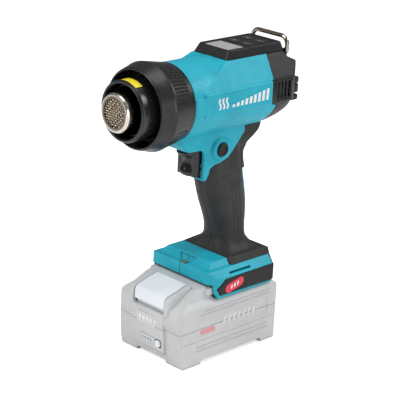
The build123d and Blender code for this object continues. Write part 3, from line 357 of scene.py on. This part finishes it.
def prints(name, outlines, surface, height, material, body, sink=0.15):
    """Flat marks with real thickness: outlines in (u, v) mm on surface(u, v, w), w mm proud of it."""
    bm = bmesh.new()
    for outline in outlines:
        low = [bm.verts.new(Vector(surface(u, v, -sink)) * MM) for u, v in outline]
        high = [bm.verts.new(Vector(surface(u, v, height)) * MM) for u, v in outline]
        bm.faces.new(low)
        bm.faces.new(high)
        for i in range(len(outline)):
            j = (i + 1) % len(outline)
            bm.faces.new((low[i], low[j], high[j], high[i]))
    return piece_from(bm, name, material, body)


def side_wall(x, side):
    """Surface on the upright wall at x mm on one side, from y and z."""
    return lambda u, v, w: (side * (x + w), u, v)


def wave(u, v, width, rise, sway, steps=16):
    """Upright ribbon that snakes like rising heat, its foot at (u, v)."""
    line = [(u + sway * math.sin(2 * math.pi * i / steps), v + rise * i / steps) for i in range(steps + 1)]
    return [(a + width / 2, b) for a, b in line] + [(a - width / 2, b) for a, b in reversed(line)]


def bar(u, v, width, rise, lean=0.0):
    """Bar with its lower left corner at (u, v) and its top shifted by lean."""
    return [(u, v), (u + width, v), (u + width + lean, v + rise), (u + lean, v + rise)]


def turned(a, b, angle, u, v):
    """Point (a, b) turned anticlockwise about zero and moved by (u, v)."""
    c, s = math.cos(angle), math.sin(angle)
    return (u + a * c - b * s, v + a * s + b * c)


def pill(u, v, length, width, steps=8):
    """Stadium about (u, v), lying along u."""
    radius = width / 2
    half = length / 2 - radius
    points = []
    for end in (0, 1):
        for i in range(steps + 1):
            angle = math.pi * (end + i / steps) - math.pi / 2
            centre = half if end == 0 else -half
            points.append((u + centre + radius * math.cos(angle), v + radius * math.sin(angle)))
    return points


def side_marks():
    """Heat waves and a rising scale on both side panels of the barrel."""
    panel_x = 34.0
    foot = 224.6
    waves = [wave(-25.5 + 4.2 * i, foot, width=1.9, rise=9.6, sway=1.0) for i in range(3)]
    scale = [bar(-11 + 5.1 * i, foot, 3.0, 2.4 + 0.92 * i, lean=0.6) for i in range(9)]
    for label, side in SIDES:
        face = side_wall(panel_x, side)
        prints(f"{label}_heat_mark", waves + scale, face, 0.12, white_ink, "gun")


def tube(bm, path, radius, sides=6):
    """Closed round wire along a path of vectors in metres."""
    rings = []
    for i, point in enumerate(path):
        ahead = path[min(i + 1, len(path) - 1)] - path[max(i - 1, 0)]
        across = ahead.cross(Vector((0, 1, 0))).normalized()
        other = ahead.cross(across).normalized()
        turns = [2 * math.pi * k / sides for k in range(sides)]
        ring = [point + (across * math.cos(a) + other * math.sin(a)) * radius for a in turns]
        rings.append([bm.verts.new(corner) for corner in ring])
    for one, two in zip(rings, rings[1:]):
        for k in range(sides):
            bm.faces.new((one[k], one[(k + 1) % sides], two[(k + 1) % sides], two[k]))
    bm.faces.new(rings[0])
    bm.faces.new(rings[-1])


def outlet_gauze():
    """Woven wire behind the outlet's lip, in front of the perforated plate."""
    reach, pitch, wire_radius, lift = 12.5 * MM, 2.05 * MM, 0.33 * MM, 0.34 * MM
    plate_gap = 0.75 * MM
    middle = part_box("outlet_mesh")[0].y - plate_gap
    steps_per_pitch = 4
    count = int(reach / pitch)
    bm = bmesh.new()
    for direction in (0, 1):
        for row in range(-count, count + 1):
            offset = row * pitch
            half = math.sqrt(reach**2 - offset**2)
            steps = max(4, int(2 * half / pitch * steps_per_pitch))
            path = []
            for i in range(steps + 1):
                along = -half + 2 * half * i / steps
                over = lift * math.cos(math.pi * along / pitch + math.pi * (row + direction))
                x, z = (along, offset) if direction == 0 else (offset, along)
                path.append(Vector((x, middle + over, AXIS_Z + z)))
            tube(bm, path, wire_radius)
    piece_from(bm, "outlet_gauze", finishes["mesh_steel"], "gun", smooth=True)


def key_symbols():
    """Plus and minus on the four keys."""
    arm, line = 1.5, 0.6  # half the length and the width of a stroke
    for name in ("heat_up_button", "heat_down_button", "air_up_button", "air_down_button"):
        low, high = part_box(name)
        x, y = (low.x + high.x) / 2 / MM, (low.y + high.y) / 2 / MM
        top = high.z / MM
        shapes = [bar(x - arm, y - line / 2, 2 * arm, line)]
        if "up" in name:
            shapes += [bar(x - line / 2, start, line, arm - line / 2) for start in (y - arm, y + line / 2)]
        body = name.replace("button", "key")

        def face(u, v, w):
            return (u, v, top + w)

        prints(f"{name}_symbol", shapes, face, 0.04, grey_ink, body, 0.1)


def badge_marks():
    """Plain white slanted bars on the two badges of the foot."""
    face_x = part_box("foot_badges")[1].x / MM
    middle_y, middle_z = -2, 65.6
    tilt = math.radians(14)
    shapes = []
    for shift in (-5.2, -1.4, 2.4):
        corners = bar(shift, -1.5, 2.0, 3.0, lean=1.2)
        shapes.append([turned(a, b, tilt, middle_y, middle_z) for a, b in corners])
    for label, side in SIDES:
        face = side_wall(face_x, side)
        prints(f"{label}_badge_mark", shapes, face, 0.06, white_ink, "gun")


def leaning_face(low_z, low_y, rise, run):
    """Surface on a front that is low_y ahead of zero at low_z and leans forward by run over rise.

    It takes x and z, all in mm.
    """
    return lambda u, v, w: (u, -(low_y + (v - low_z) * run / rise) - w, v)


def pack_marks():
    """Battery symbol and charge lights at the front, ribs and a plain badge along the sides."""
    label_face = leaning_face(low_z=11, low_y=64.6, rise=29, run=2.4)
    gauge_face = leaning_face(low_z=15.2, low_y=64.9, rise=6.6, run=0.7)
    outline = [bar(-12, v, 22, 0.9) for v in (32.6, 41.2)]
    outline += [bar(u, 33.5, 0.9, 7.7) for u in (-12, 9.1)]
    cells = [bar(-9.6 + 4.4 * i, 35, 3, 4.7) for i in range(4)]
    nub = [bar(10, 35.6, 1.6, 3.5)]
    prints("pack_symbol", outline + cells + nub, label_face, 0.12, white_ink, "pack")
    lights = [pill(-6 + 3.6 * i, 18.4, 1.3, 2.6) for i in range(4)]
    prints("gauge_lights", lights, gauge_face, 0.1, led_off, "pack")
    wall_x, panel_depth = 38.9, 0.8
    badge = [pill(-30, 29.6, 18, 4.4)]
    lines = [bar(-12 + 6 * i, 30.5, 2.4, 7.4, lean=2.2) for i in range(7)]
    rib_places = [(-40, 45.2, 86), (-34, 48.6, 80), (-44, 16.4, 88), (-44, 12.6, 88)]
    ribs = [bar(u, v, length, 0.9) for u, v, length in rib_places]
    for label, side in SIDES:
        panel = side_wall(wall_x - panel_depth, side)
        wall = side_wall(wall_x, side)
        prints(f"{label}_pack_badge", badge, panel, 0.25, faded_red, "pack")
        prints(f"{label}_pack_scale", lines, panel, 0.2, pale_ink, "pack")
        prints(f"{label}_pack_ribs", ribs, wall, 0.35, finishes["pack"], "pack")


side_marks()
outlet_gauze()
key_symbols()
badge_marks()
pack_marks()


# --- Camera, light and floor -----------------------------------------------------------------------
def look():
    """Camera at the front left of the tool, a little above it, with a slight roll."""
    place = (0.85956, -0.87817, 0.56110)
    focal_length = 134.9
    azimuth, elevation, roll = (math.radians(a) for a in (44.68, 19.29, 2.92))
    level = math.cos(elevation)
    back = Vector((math.sin(azimuth) * level, -math.cos(azimuth) * level, math.sin(elevation)))
    side = Vector((math.cos(azimuth), math.sin(azimuth), 0))
    up = back.cross(side)
    right = side * math.cos(roll) + up * math.sin(roll)
    above = up * math.cos(roll) - side * math.sin(roll)
    camera = bpy.data.objects.new("camera", bpy.data.cameras.new("camera"))
    camera.data.lens = focal_length
    camera.data.clip_start = 0.05
    turn = Matrix((right, above, back)).transposed().to_4x4()
    camera.matrix_world = Matrix.Translation(place) @ turn
    bpy.context.scene.collection.objects.link(camera)
    bpy.context.scene.camera = camera


def soft_light(name, place, target, size, power):
    """Rectangular area light of power watts that faces its target."""
    lamp = bpy.data.objects.new(name, bpy.data.lights.new(name, "AREA"))
    lamp.data.shape = "RECTANGLE"
    lamp.data.size, lamp.data.size_y = size
    lamp.data.energy = power
    lamp.location = place
    lamp.rotation_euler = (Vector(target) - Vector(place)).to_track_quat("-Z", "Y").to_euler()
    bpy.context.scene.collection.objects.link(lamp)


def studio():
    """Room light, four soft lights and a white floor."""
    room_light, room_reflection, floor_glow = 0.38, 0.17, 0.6
    world = bpy.data.worlds.new("studio")
    world.use_nodes = True
    tree = world.node_tree
    background = tree.nodes["Background"]
    background.inputs["Color"].default_value = (0.95, 0.97, 1.0, 1)
    # Reflections see a dimmer room, so that dark plastic keeps its depth.
    dimmer = tree.nodes.new("ShaderNodeMapRange")
    dimmer.inputs["To Min"].default_value = room_light
    dimmer.inputs["To Max"].default_value = room_reflection
    tree.links.new(tree.nodes.new("ShaderNodeLightPath").outputs["Is Glossy Ray"], dimmer.inputs["Value"])
    tree.links.new(dimmer.outputs["Result"], background.inputs["Strength"])
    bpy.context.scene.world = world
    soft_light("key", (-0.35, -1.4, 1.25), (0, 0, 0.17), (0.7, 0.7), 16)
    soft_light("side", (1.5, -0.1, 0.45), (0, 0, 0.2), (0.35, 0.8), 4.5)
    soft_light("rim", (0.72, 0.95, 1.05), (0, 0, 0.2), (0.6, 0.5), 6)
    soft_light("top", (0.1, 0.3, 1.7), (0, 0, 0.2), (1.0, 1.0), 7.5)
    shader = Shader("floor_paint")
    shader.link(shader.remap(shader.noise(60, 3), 0.3, 0.7, 0.55, 0.65), shader.main.inputs["Roughness"])
    # The floor looks as white as a lit backdrop without lighting the tool itself.
    seen = shader.add("ShaderNodeLightPath").outputs["Is Camera Ray"]
    shader.link(shader.math("MULTIPLY", seen, floor_glow), shader.main.inputs["Emission Strength"])
    shader.set(Base_Color=(0.93, 0.93, 0.93, 1), Emission_Color=(1, 1, 1, 1))
    mesh = bpy.data.meshes.new("floor")
    edge = 8.0  # half the floor's width in metres
    corners = [(-edge, -edge, 0), (edge, -edge, 0), (edge, edge, 0), (-edge, edge, 0)]
    mesh.from_pydata(corners, [], [(0, 1, 2, 3)])
    mesh.materials.append(shader.material)
    floor = bpy.data.objects.new("floor", mesh)
    floor.location.z = -0.2 * MM
    bpy.context.scene.collection.objects.link(floor)
    bpy.context.scene.view_settings.view_transform = "Standard"


look()
studio()
